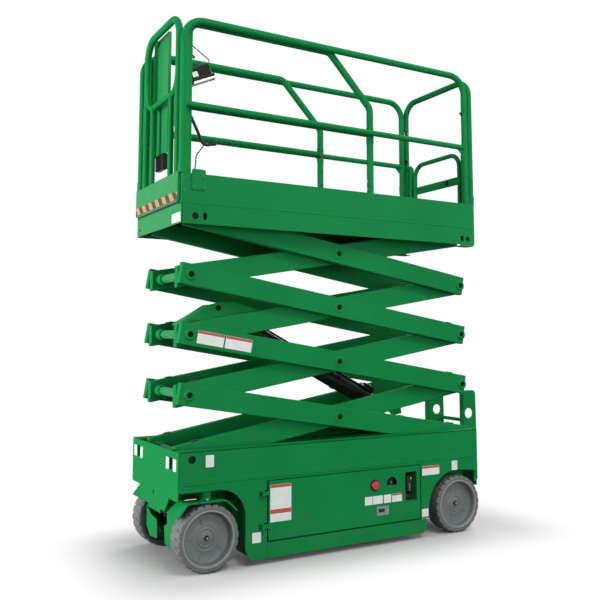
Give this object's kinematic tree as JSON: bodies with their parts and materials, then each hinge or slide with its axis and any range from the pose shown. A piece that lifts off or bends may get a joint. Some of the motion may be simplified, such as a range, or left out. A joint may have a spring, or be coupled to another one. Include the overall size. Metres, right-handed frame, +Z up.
{
  "type": "self-propelled scissor lift",
  "caption": "Narrow electric scissor lift, raised part-way: steered chassis, four crossed arm pairs, railed platform with roll-out extension.",
  "frame": {"origin": "centre of the machine's box at floor level, under its centre line", "axes": "+X forward, from the ladder to the steered wheels; +Y to the machine's left; +Z up"},
  "size_m": [2.4614, 0.846, 3.3213],
  "materials": {
    "green_paint": "satin",
    "black_paint": "satin",
    "tyre_rubber": "matte",
    "wheel_disc": "satin",
    "chrome_rod": "polished",
    "plastic_black": "matte",
    "cable_black": "matte"
  },
  "bodies": {
    "chassis": {"chassis_frame": "green_paint", "rear_axle_box": "green_paint", "front_beam": "green_paint", "side_plate_left": "green_paint", "side_plate_right": "green_paint", "front_plate": "green_paint", "ladder": "green_paint"},
    "guard_left": {"guard_left": "green_paint"},
    "guard_right": {"guard_right": "green_paint"},
    "tray_left": {"tray_left": "green_paint"},
    "tray_right": {"tray_right": "green_paint"},
    "knuckle_left": {"knuckle_left": "green_paint"},
    "knuckle_right": {"knuckle_right": "green_paint"},
    "wheel_front_left": {"tyre_front_left": "tyre_rubber", "disc_front_left": "wheel_disc"},
    "wheel_front_right": {"tyre_front_right": "tyre_rubber", "disc_front_right": "wheel_disc"},
    "wheel_rear_left": {"tyre_rear_left": "tyre_rubber", "disc_rear_left": "wheel_disc"},
    "wheel_rear_right": {"tyre_rear_right": "tyre_rubber", "disc_rear_right": "wheel_disc"},
    "arm1_inner": {"arm1_inner": "green_paint"},
    "arm1_outer": {"arm1_outer": "green_paint"},
    "arm2_inner": {"arm2_inner": "green_paint"},
    "arm2_outer": {"arm2_outer": "green_paint"},
    "arm3_inner": {"arm3_inner": "green_paint"},
    "arm3_outer": {"arm3_outer": "green_paint"},
    "arm4_inner": {"arm4_inner": "green_paint"},
    "arm4_outer": {"arm4_outer": "green_paint"},
    "lift_barrel": {"cylinder_barrel": "black_paint"},
    "lift_stage": {"cylinder_stage": "black_paint"},
    "lift_rod": {"cylinder_rod": "chrome_rod"},
    "platform": {"platform_frame": "green_paint", "main_rail_left": "green_paint", "main_rail_right": "green_paint", "rear_frame": "green_paint"},
    "gate": {"gate": "green_paint"},
    "extension": {"extension_deck": "green_paint", "extension_rail_left": "green_paint", "extension_rail_right": "green_paint", "extension_front_frame": "green_paint", "extension_panel": "green_paint", "control_box": "plastic_black", "harness": "cable_black", "cable_loop": "cable_black"}
  },
  "joints": [
    {"name": "lift", "type": "hinge", "parent": "chassis", "child": "arm1_inner", "pos_m": [1.10775, 0, 0.6422], "axis": [0, 1, 0], "range_deg": [-5.9, 49.4]},
    {"name": "arm1_outer_turn", "type": "hinge", "parent": "arm1_inner", "child": "arm1_outer", "pos_m": [0.06108, 0, 0.81961], "axis": [0, 1, 0], "range_deg": [-99.3, 12.3]},
    {"name": "arm2_outer_turn", "type": "hinge", "parent": "arm1_inner", "child": "arm2_outer", "pos_m": [-0.98559, 0, 0.99701], "axis": [0, 1, 0], "range_deg": [-99.3, 12.3]},
    {"name": "arm2_inner_turn", "type": "hinge", "parent": "arm2_outer", "child": "arm2_inner", "pos_m": [0.06108, 0, 1.17442], "axis": [0, 1, 0], "range_deg": [-12.3, 99.3]},
    {"name": "arm3_inner_turn", "type": "hinge", "parent": "arm2_outer", "child": "arm3_inner", "pos_m": [1.10775, 0, 1.35183], "axis": [0, 1, 0], "range_deg": [-12.3, 99.3]},
    {"name": "arm3_outer_turn", "type": "hinge", "parent": "arm3_inner", "child": "arm3_outer", "pos_m": [0.06108, 0, 1.52924], "axis": [0, 1, 0], "range_deg": [-99.3, 12.3]},
    {"name": "arm4_outer_turn", "type": "hinge", "parent": "arm3_inner", "child": "arm4_outer", "pos_m": [-0.98559, 0, 1.70664], "axis": [0, 1, 0], "range_deg": [-99.3, 12.3]},
    {"name": "arm4_inner_turn", "type": "hinge", "parent": "arm4_outer", "child": "arm4_inner", "pos_m": [0.06108, 0, 1.88405], "axis": [0, 1, 0], "range_deg": [-12.3, 99.3]},
    {"name": "platform_level", "type": "hinge", "parent": "arm4_outer", "child": "platform", "pos_m": [1.10775, 0, 2.06146], "axis": [0, 1, 0], "range_deg": [-6.4, 49.9]},
    {"name": "barrel_swing", "type": "hinge", "parent": "arm1_inner", "child": "lift_barrel", "pos_m": [-0.47679, 0, 0.83511], "axis": [0, -1, 0], "range_deg": [-12.59, 101.77]},
    {"name": "stage_reach", "type": "slide", "parent": "lift_barrel", "child": "lift_stage", "axis": [0.8879, 0, 0.46], "range_m": [-0.0817, 0.6689]},
    {"name": "rod_reach", "type": "slide", "parent": "lift_stage", "child": "lift_rod", "axis": [0.8879, 0, 0.46], "range_m": [-0.0817, 0.6689]},
    {"name": "steer_left", "type": "hinge", "parent": "chassis", "child": "knuckle_left", "pos_m": [1.01425, 0.3415, 0.402], "axis": [0, 0, 1], "range_deg": [-70, 70]},
    {"name": "steer_right", "type": "hinge", "parent": "chassis", "child": "knuckle_right", "pos_m": [1.01425, -0.3415, 0.402], "axis": [0, 0, 1], "range_deg": [-70, 70]},
    {"name": "roll_front_left", "type": "hinge", "parent": "knuckle_left", "child": "wheel_front_left", "pos_m": [1.01425, 0.3415, 0.1905], "axis": [0, 1, 0], "continuous": true},
    {"name": "roll_rear_left", "type": "hinge", "parent": "chassis", "child": "wheel_rear_left", "pos_m": [-0.84435, 0.3415, 0.1905], "axis": [0, 1, 0], "continuous": true},
    {"name": "guard_left_fold", "type": "hinge", "parent": "chassis", "child": "guard_left", "pos_m": [0.03525, 0.393, 0.112], "axis": [-1, 0, 0], "range_deg": [0, 75]},
    {"name": "tray_left_swing", "type": "hinge", "parent": "chassis", "child": "tray_left", "pos_m": [0.67225, 0.414, 0.3], "axis": [0, 0, -1], "range_deg": [0, 90]},
    {"name": "roll_front_right", "type": "hinge", "parent": "knuckle_right", "child": "wheel_front_right", "pos_m": [1.01425, -0.3415, 0.1905], "axis": [0, 1, 0], "continuous": true},
    {"name": "roll_rear_right", "type": "hinge", "parent": "chassis", "child": "wheel_rear_right", "pos_m": [-0.84435, -0.3415, 0.1905], "axis": [0, 1, 0], "continuous": true},
    {"name": "guard_right_fold", "type": "hinge", "parent": "chassis", "child": "guard_right", "pos_m": [0.03525, -0.393, 0.112], "axis": [1, 0, 0], "range_deg": [0, 75]},
    {"name": "tray_right_swing", "type": "hinge", "parent": "chassis", "child": "tray_right", "pos_m": [0.67225, -0.414, 0.3], "axis": [0, 0, 1], "range_deg": [0, 90]},
    {"name": "extension_roll", "type": "slide", "parent": "platform", "child": "extension", "axis": [1, 0, 0], "range_m": [0, 0.9]},
    {"name": "gate_swing", "type": "hinge", "parent": "platform", "child": "gate", "pos_m": [-1.04525, -0.308, 2.45], "axis": [0, 0, -1], "range_deg": [0, 90]}
  ],
  "couplings": [
    {"joint": "arm1_outer_turn", "follows": "lift", "ratio": -2},
    {"joint": "arm2_outer_turn", "follows": "lift", "ratio": -2},
    {"joint": "arm2_inner_turn", "follows": "lift", "ratio": 2},
    {"joint": "arm3_inner_turn", "follows": "lift", "ratio": 2},
    {"joint": "arm3_outer_turn", "follows": "lift", "ratio": -2},
    {"joint": "arm4_outer_turn", "follows": "lift", "ratio": -2},
    {"joint": "arm4_inner_turn", "follows": "lift", "ratio": 2},
    {"joint": "platform_level", "follows": "lift", "ratio": 1},
    {"joint": "barrel_swing", "follows": "lift", "ratio": 2.05},
    {"joint": "stage_reach", "follows": "lift", "m_per_rad": 0.77349},
    {"joint": "rod_reach", "follows": "lift", "m_per_rad": 0.77349},
    {"joint": "steer_right", "follows": "steer_left", "ratio": 1}
  ]
}
